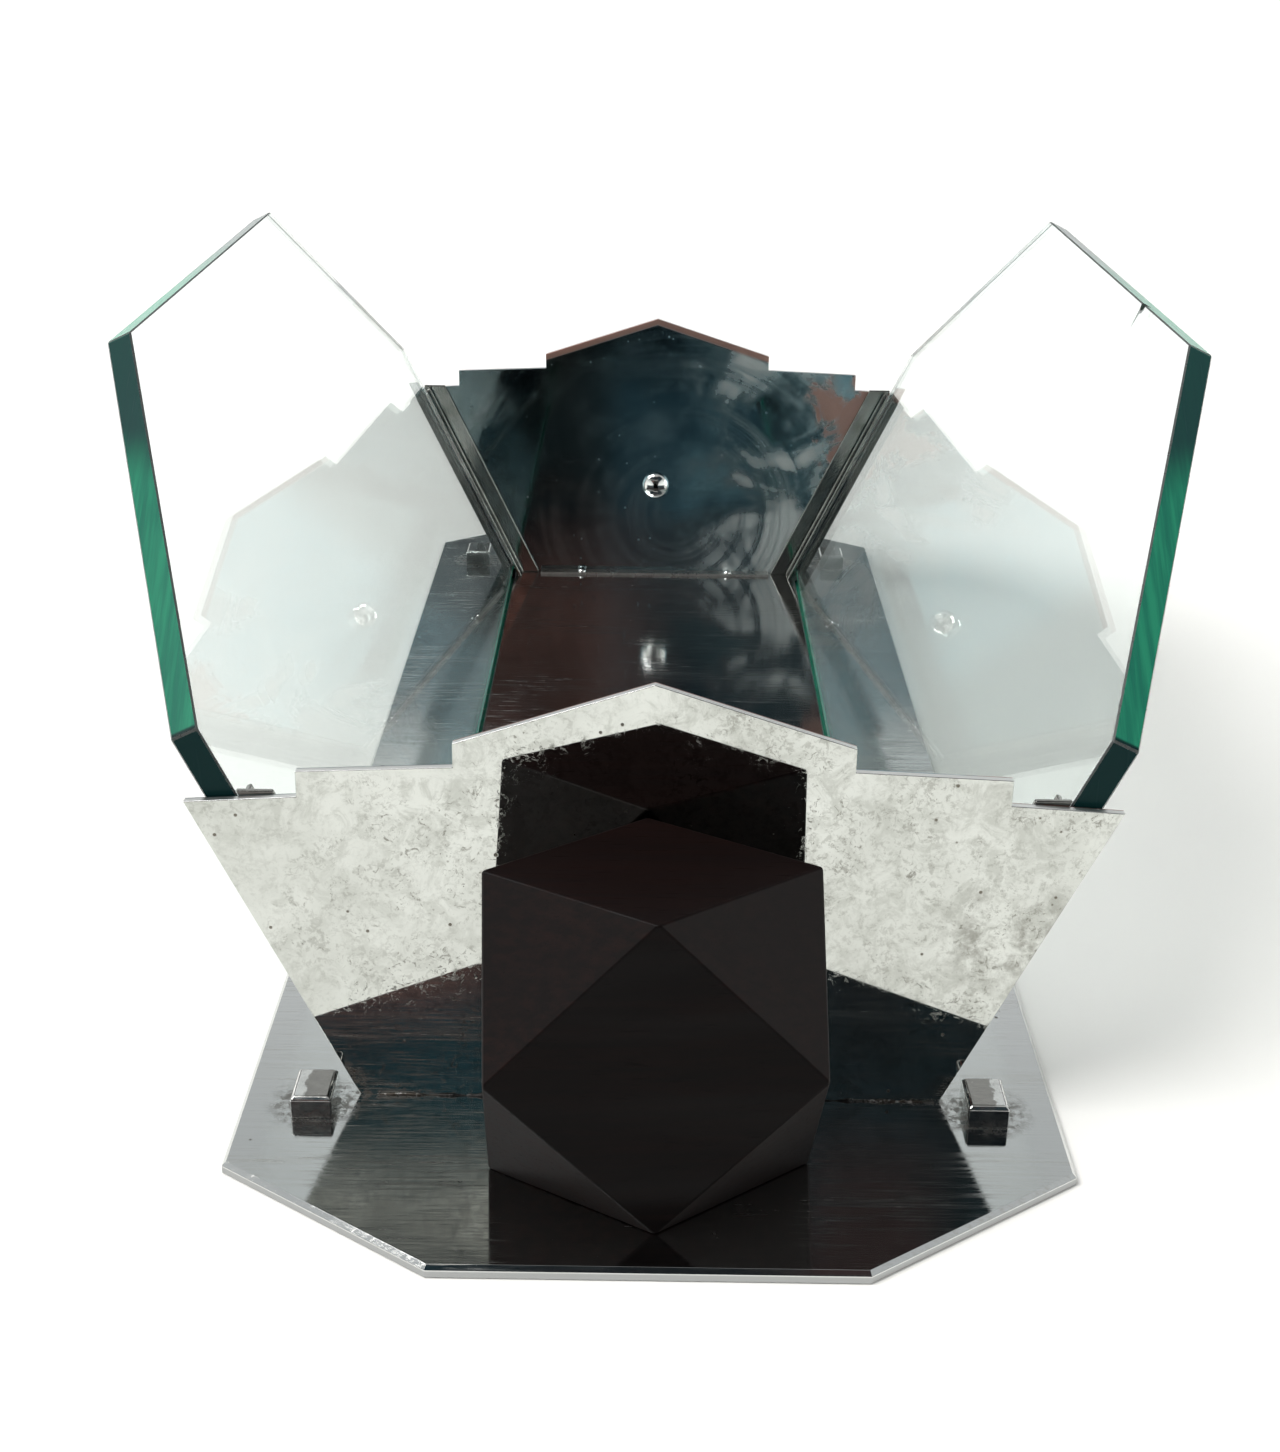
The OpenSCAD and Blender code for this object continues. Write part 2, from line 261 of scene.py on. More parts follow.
def wipedFace(f, across, level):  # inner face painted dark teal as painted shade, darker still on the left, with the arcs of a cloth, copper showing on the right
    look = plateLook
    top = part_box("end_plate_rear")[1].z
    reach = distance(across, level, look["wipe"])
    rings = f.noise(3.4, 3, 0.6, where=f.add("ShaderNodeCombineXYZ", None, {0: reach, 1: across * 0.1}))
    blotch = f.noise(26, 4, 0.55, 0.7, shift=(0.7, 0, 0.2)).ease(0.38, 0.64)
    right = across.ease(4 * mm, 26 * mm)
    smear = blotch * (right * 0.95 + 0.25) * (rings.ease(0.3, 0.6) * 0.6 + 0.4)
    arc = (reach - look["arc"] * mm).size().ease(5 * mm, 1 * mm) * right * rings.ease(0.35, 0.55)
    smear = smear.most(arc * 0.5)
    ragged = f.noise(14, 4, 0.6, 0.8, shift=(0.1, 0.5, 0))
    copper = (ragged + across * 16.0).ease(1.28, 1.42) * (ragged + level * 16.0).ease(0.95, 1.15)
    low, high = (top - depth * mm for depth in look["rim"])
    wide, narrow = look["rimWidth"]
    rim = (level + across.size() * look["rimSlope"]).ease(low, high)  # follows the gabled top
    rim = rim * across.size().ease(wide * mm, narrow * mm)
    worn = (copper * 0.85).most(rim * 0.9)
    # painted shade: the inner face goes from dark teal towards near black on the left
    left = across.ease(-10 * mm, -26 * mm)
    dark = f.mix(left * 0.45, f.mix(left * 0.55, look["paintedShadeTeal"], look["fleck"]), look["shadow"])
    return smear, worn, f.mix(worn, f.mix(smear, dark, look["smear"]), look["copper"])


baseLook = {
    "bright": (0.70, 0.715, 0.71), "rubbed": (0.57, 0.56, 0.52), "edge": (0.40, 0.41, 0.41),
    "stain": (0.10, 0.085, 0.06), "grime": (0.14, 0.12, 0.10), "polish": 0.022, "bevel": 0.8,
}


def brushedNickel():  # base plate, streaked across by its polishing
    look = baseLook
    f = Finish("brushedNickel", Metallic=1.0)
    across, level = f.axes()[::2]
    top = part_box("base_plate")[1].z - look["bevel"] * mm
    streak = f.noise(0.55, 4, 0.7, scale=(0.035, 1, 1), turn=(0, 0, 0.10))
    slant = f.noise(0.5, 4, 0.65, scale=(0.05, 1, 1), turn=(0, 0, 0.42)).ease(0.50, 0.66)
    broad = f.noise(16, 4, 0.6, scale=(0.25, 1, 1), turn=(0, 0, 0.16)).ease(0.42, 0.62)
    rub = f.noise(45, 3, 0.6).ease(0.4, 0.65)
    pits = f.dots(6, 0.5, 0.35, (0.3, 0, 0.2))
    left = across.ease(0.0, -0.04)
    brushed = streak.ease(0.36, 0.76) * (broad * 0.7 + 0.3) + slant * (rub * 0.5 + left * 0.3)
    side = level.ease(top, top - 0.2 * mm)
    chips = f.dots(11, 1.3, 0.25, (0.2, 0.7, 0.1)) * side
    grime = lugGrime(f)
    tone = f.mix(brushed * 0.6, look["bright"], look["rubbed"])
    # painted shade: the side faces of the base are painted a darker grey
    tone = f.mix(side, tone, look["edge"])
    tone = f.mix((pits * 0.7).most(chips * 0.9), tone, look["stain"])
    tone = f.mix(grime * 0.75, tone, look["grime"])
    gloss = look["polish"] + brushed * 0.26 + rub * 0.015 + pits * 0.3 + grime * 0.35
    f.set(Base_Color=tone, Roughness=gloss)
    return f.relief(streak * 0.6 - pits * 0.5 + f.noise(70, 2) * 0.5, 0.22, 0.05).material


def lugGrime(f):  # old polish caught round the lugs and along the feet of the end plates
    across, along = (axis.size() for axis in f.axes()[:2])
    low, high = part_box("corner_lug_rear_right")
    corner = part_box("outer_strip_rear_right")[0].x
    ring = distance(across, along, (low + high) / 2 / mm).ease(9.5 * mm, 5 * mm)
    foot = (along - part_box("end_plate_rear")[1].y).size().ease(2.2 * mm, 0.3 * mm)
    foot = foot * (across - corner).size().ease(14 * mm, 2 * mm)
    return ring.most(foot) * f.noise(1.6, 5, 0.75).ease(0.40, 0.60)


def dullNickel(name, light, dark, gloss):  # foot strips and channels
    f = Finish(name, Metallic=1.0)
    cloud = f.noise(7, 4, 0.6).ease(0.35, 0.7)
    wear = f.noise(0.6, 3, 0.6, scale=(1, 1, 0.08))
    f.set(Base_Color=f.mix(cloud * 0.7, light, dark), Roughness=gloss + cloud * 0.10 + wear * 0.04)
    return f.relief(wear, 0.2, 0.04).material


lugLook = {
    "bright": (0.86, 0.86, 0.84), "dull": (0.50, 0.49, 0.46), "stain": (0.27, 0.255, 0.235),
    "shade": (0.10, 0.10, 0.10),
}


def rubbedNickel():  # lugs, stained on the inner part of their tops, with painted shade on their front and back faces
    look = lugLook
    f = Finish("rubbedNickel", Metallic=1.0)
    cloud = f.noise(2.2, 4, 0.6).ease(0.35, 0.7)
    pits = f.dots(1.6, 0.25, 0.4)
    tone = f.mix(cloud * 0.35 + pits * 0.4, look["bright"], look["dull"])
    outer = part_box("corner_lug_rear_right")[1].x
    inward = f.axes()[0].size() + f.noise(5, 4, 0.6, 0.5, shift=(0.02, 0.3, 0)) * 4 * mm
    front, up = f.facing()[1:]
    stain = up.ease(0.8, 0.95) * inward.ease(outer - 0.3 * mm, outer - 0.7 * mm)
    tone = f.mix(stain * 0.85, tone, look["stain"])
    # painted shade: the front and back faces are darkened
    tone = f.mix(front.size().ease(0.8, 0.95) * 0.65, tone, look["shade"])
    f.set(Base_Color=tone, Roughness=0.09 + cloud * 0.12 + pits * 0.3)
    return f.relief(cloud * 0.7 - pits, 0.5, 0.06).material


steelLook = {
    "bright": (0.88, 0.87, 0.85), "dull": (0.6, 0.58, 0.55), "grey": (0.36, 0.36, 0.36),
    "stain": (0.16, 0.13, 0.11),
}


def brightSteel():  # screws and rivets
    look = steelLook
    f = Finish("brightSteel", Metallic=1.0)
    cloud = f.noise(1.2, 4, 0.6).ease(0.35, 0.7)
    tone = f.mix(cloud * 0.3, look["bright"], look["dull"])
    f.set(Base_Color=tone, Roughness=0.06 + cloud * 0.08)
    return f.relief(cloud, 0.12, 0.03).material


def plainSteel():  # washers
    look = steelLook
    f = Finish("plainSteel", Metallic=1.0)
    cloud = f.noise(1.5, 4, 0.6).ease(0.35, 0.7)
    ring = f.noise(0.3, 2, 0.5, scale=(1, 0.2, 1))
    tone = f.mix(cloud * 0.6, look["grey"], look["stain"])
    f.set(Base_Color=tone, Roughness=0.28 + cloud * 0.2)
    return f.relief(ring, 0.2, 0.03).material


solderTones = {"bright": (0.60, 0.59, 0.56), "dark": (0.07, 0.06, 0.05), "shade": (0.03, 0.03, 0.03)}


def oldSolder():  # darker away from the corners
    look = solderTones
    f = Finish("oldSolder", Metallic=1.0)
    cloud = f.noise(1.6, 5, 0.7).ease(0.34, 0.52)
    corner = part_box("outer_strip_rear_right")[0].x
    middle = f.axes()[0].size().ease(corner - 4 * mm, corner - 14 * mm)
    tone = f.mix(cloud, look["bright"], look["dark"])
    tone = f.mix(middle * 0.9, tone, look["shade"])
    f.set(Base_Color=tone, Roughness=0.2 + cloud * 0.3)
    return f.relief(f.noise(0.7, 4, 0.6), 0.6, 0.12).material


woodLook = {  # nearly black rosewood, with painted light on the sides and painted shade on the front and back
    "dark": (0.0032, 0.0021, 0.0021), "light": (0.0175, 0.0056, 0.0040), "poreAndShade": (0.0015, 0.001, 0.001),
    "paintedSideLight": (0.0220, 0.0200, 0.0195), "worn": (0.0050, 0.0012, 0.0010),
}


def darkWood():
    look = woodLook
    f = Finish("darkWood", Specular_IOR_Level=0.055, Coat_Roughness=0.20)
    grain = f.noise(1.3, 5, 0.62, 0.3, scale=(0.055, 1, 1), turn=(0, 0, 0.03))
    pores = f.noise(0.32, 2, 0.6, scale=(0.05, 1, 1)).ease(0.60, 0.74)
    figure = f.noise(14, 3, 0.5, 0.6, scale=(0.22, 1, 1)).ease(0.4, 0.66)
    tone = f.mix(grain.ease(0.36, 0.70) * 0.5, look["dark"], look["light"])
    tone = f.mix(figure * 0.5, tone, look["dark"])
    tone = f.mix(pores * 0.7, tone, look["poreAndShade"])
    side, front, up = f.facing()
    # painted light: the side faces are painted a lighter grey-brown
    tone = f.mix(side.size().ease(0.35, 0.6) * 0.68, tone, look["paintedSideLight"])
    # painted shade: the front and back faces are darkened towards the pore tone
    tone = f.mix(front.size().ease(0.8, 0.95) * 0.75, tone, look["poreAndShade"])
    tone = f.mix(up.ease(0.8, 0.95) * 0.5, tone, look["worn"])
    f.set(Base_Color=tone, Roughness=0.42 + grain * 0.12 + pores * 0.2, Coat_Weight=0.03 + figure * 0.05)
    return f.relief(grain * 0.5 - pores, 0.22, 0.05).material


glassTones = {"clear": (1.0, 1.0, 1.0), "ground": (0.92, 0.98, 0.95), "iron": (0.11, 0.64, 0.51)}
glassIor = 1.52
ironDensity = 14.0


def clearGlass():
    f = Finish("clearGlass", Transmission_Weight=1.0, IOR=glassIor, Base_Color=glassTones["clear"])
    smudge = f.noise(22, 4, 0.6).ease(0.62, 0.80)
    f.set(Roughness=smudge * 0.02)
    greenBody(f)
    return f.material


def seamedEdge():  # the rubbed arrises and chips of the glass
    f = Finish("seamedEdge", Transmission_Weight=0.95, IOR=glassIor, Base_Color=glassTones["ground"])
    grit = f.noise(0.5, 3, 0.6)
    f.set(Roughness=0.18 + grit * 0.25)
    f.relief(grit, 0.35, 0.05)
    greenBody(f)
    return f.material


edgeLook = {  # tones of the cut edge, the top band's pale and grey a painted highlight; depths in mm of the top and foot bands, the end and the darker part
    "green": (0.017, 0.185, 0.106), "teal": (0.010, 0.120, 0.078), "slate": (0.009, 0.034, 0.034),
    "deep": (0.003, 0.018, 0.018), "pale": (0.16, 0.42, 0.31), "grey": (0.26, 0.30, 0.295),
    "foot": (0.045, 0.30, 0.20), "band": (3.2, 2.6), "end": (0.9, 0.5), "slateFrom": (22, 13),
}


def cutEdge():  # green from outside; from inside only the top and bottom edges show, the rest is clear
    look = edgeLook
    f = Finish("cutEdge", IOR=glassIor, Specular_IOR_Level=0.07)
    low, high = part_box("glass_right")
    along, level = f.axes()[1:]
    streak = f.noise(1.4, 3, 0.6, scale=(1, 0.05, 0.05))
    # the straight top edge ends at these corners
    corner = max(abs(v.co.y) for v in nodes["glass_right"].data.vertices if v.co.z > high.z - 4 * mm)
    starts, full = (depth * mm for depth in look["band"])
    rim = level.ease(high.z - starts, high.z - full) * along.size().ease(corner + 0.4 * mm, corner)
    foot = level.ease(low.z + starts, low.z + full)
    starts, full = (depth * mm for depth in look["end"])
    end = along.size().ease(high.y - starts, high.y - full)
    tone = f.mix(streak.ease(0.35, 0.65), look["green"], look["teal"])
    starts, full = (depth * mm for depth in look["slateFrom"])
    tone = f.mix(level.ease(high.z - starts, high.z - full) * 0.94, tone, look["slate"])
    # painted highlight: the straight top edge is painted pale green at the front, greyer towards the back
    tone = f.mix(rim, tone, f.mix(along.ease(-40 * mm, 50 * mm), look["pale"], look["grey"]))
    tone = f.mix(foot, tone, look["foot"])
    tone = f.mix(end, tone, look["deep"])
    f.set(Base_Color=tone, Roughness=0.20 + streak * 0.12)
    f.relief(streak, 0.15, 0.05)
    values = {"Color": glassTones["clear"], "Roughness": 0.0, "IOR": glassIor}
    clear = f.add("ShaderNodeBsdfGlass", None, values)
    inside = f.add("ShaderNodeNewGeometry", output="Backfacing") * (1 - rim.most(foot))
    both = f.add("ShaderNodeMixShader", None, {0: inside, 1: Wire(f, f.shader.outputs[0]), 2: clear})
    f.plug(f.tree.nodes["Material Output"].inputs["Surface"], both)
    greenBody(f)
    return f.material


def greenBody(f):  # iron in the glass: clear through its thickness, green along its length
    values = {"Color": glassTones["iron"], "Density": ironDensity}
    absorb = f.add("ShaderNodeVolumeAbsorption", None, values)
    f.plug(f.tree.nodes["Material Output"].inputs["Volume"], absorb)


channelLook = {  # light tone, dark tone and roughness
    "foot": ((0.66, 0.66, 0.63), (0.40, 0.39, 0.36), 0.24),
    "angle": ((0.34, 0.34, 0.32), (0.17, 0.165, 0.15), 0.04),
    "strip": ((0.15, 0.15, 0.145), (0.07, 0.07, 0.06), 0.05),
}
finish = {
    "base_metal": brushedNickel(), "plate_metal": speckledNickel(),
    "channel_metal": dullNickel("dullNickel", *channelLook["foot"]),
    "lug_metal": rubbedNickel(), "screw_metal": brightSteel(), "rivet_metal": brightSteel(),
    "washer_metal": plainSteel(), "clear_glass": clearGlass(), "dark_wood": darkWood(),
}
solder = oldSolder()
channelFinish = {
    "inner_angle": dullNickel("angleNickel", *channelLook["angle"]),
    # the outer strips are given a dark tone
    "outer_strip": dullNickel("tarnishedNickel", *channelLook["strip"]),
}
seamed = seamedEdge()
edgeFinish = cutEdge()
print("finishes made:", len(finish) + len(channelFinish) + 3)


def newPiece(name, mesh):
    piece = bpy.data.objects.new(name, mesh)
    bpy.context.scene.collection.objects.link(piece)
    return piece


def settle(piece, name=None):  # applies the modifiers and leaves a plain mesh
    bpy.context.view_layer.update()
    evaluated = piece.evaluated_get(bpy.context.evaluated_depsgraph_get())
    mesh = bpy.data.meshes.new_from_object(evaluated)
    piece.modifiers.clear()
    old = piece.data
    piece.data = mesh
    mesh.name = name or piece.name
    bpy.data.meshes.remove(old)
    return piece


def mergedMesh(node):  # a CAD node's mesh with its triangles joined and its flat faces whole
    mesh = bpy.data.meshes.new(node + "Copy")
    work = bmesh.new()
    work.from_mesh(nodes[node].data)
    work.to_mesh(mesh)
    work.free()
    for name in [layer.name for layer in mesh.attributes if layer.name in ("custom_normal", "UVMap")]:
        mesh.attributes.remove(mesh.attributes[name])
    joinFlats(mesh)
    return mesh


def joinFlats(mesh):  # flat faces made whole, so that a bevel runs clean along their edges
    work = bmesh.new()
    work.from_mesh(mesh)
    bmesh.ops.remove_doubles(work, verts=work.verts, dist=0.0005 * mm)
    bmesh.ops.dissolve_limit(work, angle_limit=math.radians(0.5), verts=work.verts, edges=work.edges)
    work.to_mesh(mesh)
    work.free()
    mesh.shade_smooth()


def softened(piece, width, segments=2, material=-1):  # rounds or seams the edges, width in mm
    bevel = piece.modifiers.new("edges", "BEVEL")
    bevel.width = width * mm
    bevel.segments = segments
    bevel.limit_method = "ANGLE"
    bevel.angle_limit = math.radians(24)
    bevel.harden_normals = material < 0
    bevel.material = material
    return piece


def standIn(piece, *stoodFor):  # the piece takes its body from the nodes that it stands for, which are hidden
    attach(piece, bodyOf[stoodFor[0]])
    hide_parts(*stoodFor)
    return piece


def bevelledCopy(node, width, segments=2):
    piece = newPiece(node + "_piece", mergedMesh(node))
    piece.data.materials.clear()
    piece.data.materials.append(channelFinish.get(node[:11], finish[slotOf[node]]))
    settle(softened(piece, width, segments))
    return standIn(piece, node)


edgeWear = {  # rounding of each kind of piece, in mm
    "base_plate": 0.12, "end_plate": 0.16, "inner_angle": 0.28, "outer_strip": 0.28,
    "foot_strip": 0.15, "corner_lug": 0.3,
}
for node in sorted(nodes):
    kind = next((k for k in edgeWear if node.startswith(k)), None)
    if kind:
        bevelledCopy(node, edgeWear[kind], 3)
    else:
        nodes[node].data.materials.clear()
        nodes[node].data.materials.append(finish[slotOf[node]])
print("plates, channels and lugs rounded")


class Maker(Graph):  # a geometry tree with named inputs
    def __init__(self, name, **inputs):
        tree = bpy.data.node_groups.new(name, "GeometryNodeTree")
        super().__init__(tree)
        kinds = {float: "NodeSocketFloat", int: "NodeSocketInt", tuple: "NodeSocketVector"}
        self.socketOf = {}
        for label, value in inputs.items():
            socket = tree.interface.new_socket(label, in_out="INPUT", socket_type=kinds[type(value)])
            socket.default_value = value
            self.socketOf[label] = socket.identifier
        material = tree.interface.new_socket("material", in_out="INPUT", socket_type="NodeSocketMaterial")
        self.socketOf["material"] = material.identifier
        tree.interface.new_socket("Geometry", in_out="OUTPUT", socket_type="NodeSocketGeometry")
        self.inputs = tree.nodes.new("NodeGroupInput")

    def given(self, label):
        return Wire(self, self.inputs.outputs[label])

    def finishWith(self, geometry):
        real = self.add("GeometryNodeRealizeInstances", None, {0: geometry})
        values = {"Geometry": real, "Material": self.given("material")}
        coated = self.add("GeometryNodeSetMaterial", None, values)
        self.plug(self.tree.nodes.new("NodeGroupOutput").inputs[0], coated)

    def grow(self, name, material, **values):
        piece = newPiece(name, bpy.data.meshes.new(name))
        modifier = piece.modifiers.new("maker", "NODES")
        modifier.node_group = self.tree
        for label, value in {**values, "material": material}.items():
            modifier[self.socketOf[label]] = value
        return piece

    def vector(self, x=0.0, y=0.0, z=0.0):
        return self.add("ShaderNodeCombineXYZ", None, {0: x, 1: y, 2: z})

    def move(self, geometry, place=(0, 0, 0), turn=(0, 0, 0)):
        values = {"Geometry": geometry, "Translation": place, "Rotation": turn}
        return self.add("GeometryNodeTransform", None, values)

    def join(self, *parts):
        joined = self.tree.nodes.new("GeometryNodeJoinGeometry")
        for part in parts:
            self.tree.links.new(part.socket, joined.inputs[0])
        return Wire(self, joined.outputs[0])

    def dome(self, diameter, height, rings, around, arc=1.35):  # a domed disc that stands on z = 0
        values = {"Vertices": around, "Side Segments": rings, "Radius": diameter / 2.0, "Depth": height}
        disc = self.add("GeometryNodeMeshCylinder", None, values)
        disc = self.move(disc, self.vector(z=height / 2.0))
        where = self.add("ShaderNodeSeparateXYZ", None, {0: self.add("GeometryNodeInputPosition")})
        level = where.other("Z") / height
        angle = level * arc  # the rings crowd towards the top
        shrink = angle.maths("COSINE")
        lift = angle.maths("SINE") / math.sin(arc) * height
        shaped = self.vector(where * shrink, where.other("Y") * shrink, lift)
        return self.add("GeometryNodeSetPosition", None, {"Geometry": disc, "Position": shaped})


def facetedBlock():
    make = Maker("facetedBlock", width=0.05, depth=0.03, height=0.05, centre=(0.0, 0.0, 0.0), turn=0.0)
    size = make.vector(make.given("width"), make.given("depth"), make.given("height"))
    box = make.add("GeometryNodeMeshCube", None, {"Size": size})
    middles = make.add("GeometryNodeMeshToPoints", {"mode": "EDGES"}, {"Mesh": box})
    hull = make.add("GeometryNodeConvexHull", None, {0: middles})
    turned = make.move(hull, turn=make.vector(z=make.given("turn")))
    make.finishWith(make.move(turned, make.given("centre")))
    return make


blockLook = {"turn": 3.0, "edge": 0.35}  # degrees, mm
blockMaker = facetedBlock()
for end, sign in ends.items():
    node = "wood_block_" + end
    low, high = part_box(node)
    centre = (low + high) / 2
    turn = math.radians(-sign * blockLook["turn"])
    square = Matrix.Rotation(-turn, 2)  # turns the block back, so that its sides can be measured
    belt = [v.co - centre for v in nodes[node].data.vertices if abs(v.co.z - centre.z) < 0.1 * mm]
    belt = [square @ point.xy for point in belt]
    width = 2 * max(abs(point.x) for point in belt)
    depth = 2 * max(abs(point.y) for point in belt)
    piece = blockMaker.grow(node + "_piece", finish["dark_wood"], width=width, depth=depth,
                            height=high.z - low.z, centre=tuple(centre), turn=turn)
    joinFlats(settle(piece).data)
    settle(softened(piece, blockLook["edge"], 3))
    standIn(piece, node)
print("wood blocks made")


def crossScrew():
    make = Maker("crossScrew", head=0.008, rise=0.0026, shank=0.004, length=0.025, slotWide=0.0013,
                 slotLong=0.005, slotDeep=0.0015, seat=0.14, level=0.03)
    dome = make.dome(make.given("head"), make.given("rise"), 10, 48)
    deep = make.given("slotDeep")
    crown = make.vector(z=make.given("rise"))
    head = make.tree.nodes.new("GeometryNodeMeshBoolean")
    head.operation = "DIFFERENCE"
    make.tree.links.new(dome.socket, head.inputs["Mesh 1"])
    for wide, tall in (("slotLong", "slotWide"), ("slotWide", "slotLong")):
        size = make.vector(make.given(wide), make.given(tall), deep * 2.0)
        cutter = make.move(make.add("GeometryNodeMeshCube", None, {"Size": size}), crown)
        make.tree.links.new(cutter.socket, head.inputs["Mesh 2"])
    length = make.given("length")
    values = {"Vertices": 32, "Radius": make.given("shank") / 2.0, "Depth": length}
    shank = make.move(make.add("GeometryNodeMeshCylinder", None, values), make.vector(z=length * -0.5))
    screw = make.join(Wire(make, head.outputs[0]), shank)
    start = make.vector(y=make.given("seat"), z=make.given("level"))
    step = make.vector(y=make.given("seat") * -2.0)
    line = make.add("GeometryNodeMeshLine", None, {"Count": 2, "Start Location": start, "Offset": step})
    facing = math.pi / 2 - make.add("GeometryNodeInputIndex") * math.pi  # heads face each other
    values = {"Points": line, "Instance": screw, "Rotation": make.vector(x=facing)}
    make.finishWith(make.add("GeometryNodeInstanceOnPoints", None, values))
    return make


screwLook = {"slotWide": 1.3 * mm, "slotLong": 5.1 * mm, "slotDeep": 1.5 * mm, "shank": 4 * mm}
low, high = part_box("block_screw_rear")
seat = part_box("end_plate_rear")[0].y
screws = crossScrew().grow("block_screws", finish["screw_metal"], head=high.x - low.x,
                           rise=seat - low.y, length=high.y - seat, seat=seat,
                           level=(low.z + high.z) / 2, **screwLook)
settle(screws)
screws.data.shade_smooth()
screws.data.set_sharp_from_angle(angle=math.radians(35))
standIn(screws, "block_screw_front", "block_screw_rear")


def domedRivets():
    make = Maker("domedRivets", head=0.0026, rise=0.0008, shank=0.0016, seat=0.0027, across=0.044,
                 along=0.28)
    dome = make.dome(make.given("head"), make.given("rise"), 6, 24)
    dome = make.move(dome, make.vector(z=make.given("seat")))
    values = {"Vertices": 20, "Radius": make.given("shank") / 2.0, "Depth": make.given("seat")}
    shank = make.add("GeometryNodeMeshCylinder", None, values)
    shank = make.move(shank, make.vector(z=make.given("seat") / 2.0))
    values = {"Size X": make.given("across"), "Size Y": make.given("along")}
    corners = make.add("GeometryNodeMeshGrid", None, {**values, "Vertices X": 2, "Vertices Y": 2})
    values = {"Points": corners, "Instance": make.join(dome, shank)}
    make.finishWith(make.add("GeometryNodeInstanceOnPoints", None, values))
    return make


rivetLook = {"head": 2.6 * mm, "shank": 1.6 * mm}
low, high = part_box("foot_rivets_rear")
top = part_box("foot_strip_rear")[1].z
rivets = domedRivets().grow("foot_rivets", finish["rivet_metal"], rise=high.z - top, seat=top,
                            across=high.x - low.x - rivetLook["head"], along=low.y + high.y, **rivetLook)
settle(rivets)
rivets.data.shade_smooth()
rivets.data.set_sharp_from_angle(angle=math.radians(35))
standIn(rivets, "foot_rivets_front", "foot_rivets_rear")
print("screws and rivets made")


def solderBead():
    make = Maker("solderBead", length=0.1, radius=0.0004, wander=0.0003, grain=400.0,
                 place=(0.0, 0.0, 0.0))
    half = make.given("length") / 2.0
    tips = {0: make.vector(x=0 - half), 1: make.vector(x=half)}
    line = make.add("GeometryNodeCurvePrimitiveLine", None, tips)
    line = make.add("GeometryNodeResampleCurve", None, {"Curve": line, "Count": 220})
    values = {"Resolution": 10, "Radius": make.given("radius")}
    ring = make.add("GeometryNodeCurvePrimitiveCircle", None, values)
    values = {"Curve": line, "Profile Curve": ring, "Fill Caps": True}
    bead = make.add("GeometryNodeCurveToMesh", None, values)
    lump = make.add("ShaderNodeTexNoise", None, {"Scale": make.given("grain"), "Detail": 3.0})
    swell = (lump - 0.52) * make.given("wander") * 4.0
    outward = make.add("GeometryNodeInputNormal")
    push = make.add("ShaderNodeVectorMath", {"operation": "SCALE"}, {0: outward, "Scale": swell})
    bead = make.add("GeometryNodeSetPosition", None, {"Geometry": bead, "Offset": push})
    make.finishWith(make.move(bead, make.given("place")))
    return make


solderLook = {"radius": 0.36 * mm, "wander": 0.36 * mm, "grain": 330.0}
beadMaker = solderBead()
for end, sign in ends.items():
    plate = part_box("end_plate_" + end)
    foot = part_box("outer_strip_rear_right")[0].x
    outer = plate[0].y if sign < 0 else plate[1].y
    place = (0.0, outer, plate[0].z)
    bead = beadMaker.grow("solder_" + end, solder, length=2 * foot, place=place, **solderLook)
    settle(bead)
    bead.data.shade_smooth()
    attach(bead, "frame")
print("solder run along the plates")


glassLook = {"seam": 0.3, "chipAlong": -34.0, "chip": 1.7, "chipDeep": 1.5}  # mm, and a stretch
tailLook = {  # the narrow end of the chip, in parts of its size, and its turn in degrees
    "wide": 0.45, "tip": 0.05, "long": 3.0, "turn": 200, "place": (-0.4, 0.5, -1.8),
}


def chippedAway(piece, place, size):  # bites a chip with a narrow tail out of an edge
    cutter = newPiece("chipCutter", bpy.data.meshes.new("chipCutter"))
    work = bmesh.new()
    bmesh.ops.create_icosphere(work, subdivisions=2, radius=size)
    for v in work.verts:
        v.co.x *= 0.8 + 0.2 * math.sin(v.co.z / size * 5)
        v.co.z *= glassLook["chipDeep"]
    wide, tip, long = (tailLook[key] * size for key in ("wide", "tip", "long"))
    tail = bmesh.ops.create_cone(work, cap_ends=True, segments=6, radius1=wide, radius2=tip, depth=long)
    turn = Matrix.Rotation(math.radians(tailLook["turn"]), 3, "Y")
    for v in tail["verts"]:
        v.co = turn @ v.co + Vector(tailLook["place"]) * size
    bmesh.ops.translate(work, verts=work.verts, vec=place)
    bmesh.ops.recalc_face_normals(work, faces=work.faces)
    work.to_mesh(cutter.data)
    work.free()
    cutter.data.materials.append(seamed)
    cut = piece.modifiers.new("chip", "BOOLEAN")
    cut.object = cutter
    cut.solver = "EXACT"
    cut.material_mode = "TRANSFER"
    cut.use_self = True
    settle(piece)
    bpy.data.objects.remove(cutter)


for side in ("left", "right"):
    node = "glass_" + side
    panel = newPiece(node + "_piece", mergedMesh(node))
    panel.data.materials.clear()
    panel.data.materials.append(finish["clear_glass"])
    panel.data.materials.append(seamed)
    panel.data.materials.append(edgeFinish)
    face = max(panel.data.polygons, key=lambda polygon: polygon.area).normal.copy()
    for polygon in panel.data.polygons:
        polygon.material_index = 0 if abs(polygon.normal.dot(face)) > 0.9 else 2
    settle(softened(panel, glassLook["seam"], 1, material=1))
    if side == "right":
        rim = max(nodes[node].data.vertices, key=lambda v: v.co.z).co
        place = Vector((rim.x + 0.3 * mm, glassLook["chipAlong"] * mm, rim.z + 0.2 * mm))
        chippedAway(panel, place, glassLook["chip"] * mm)
    panel.data.shade_flat()
    standIn(panel, node)
print("glass panels made")


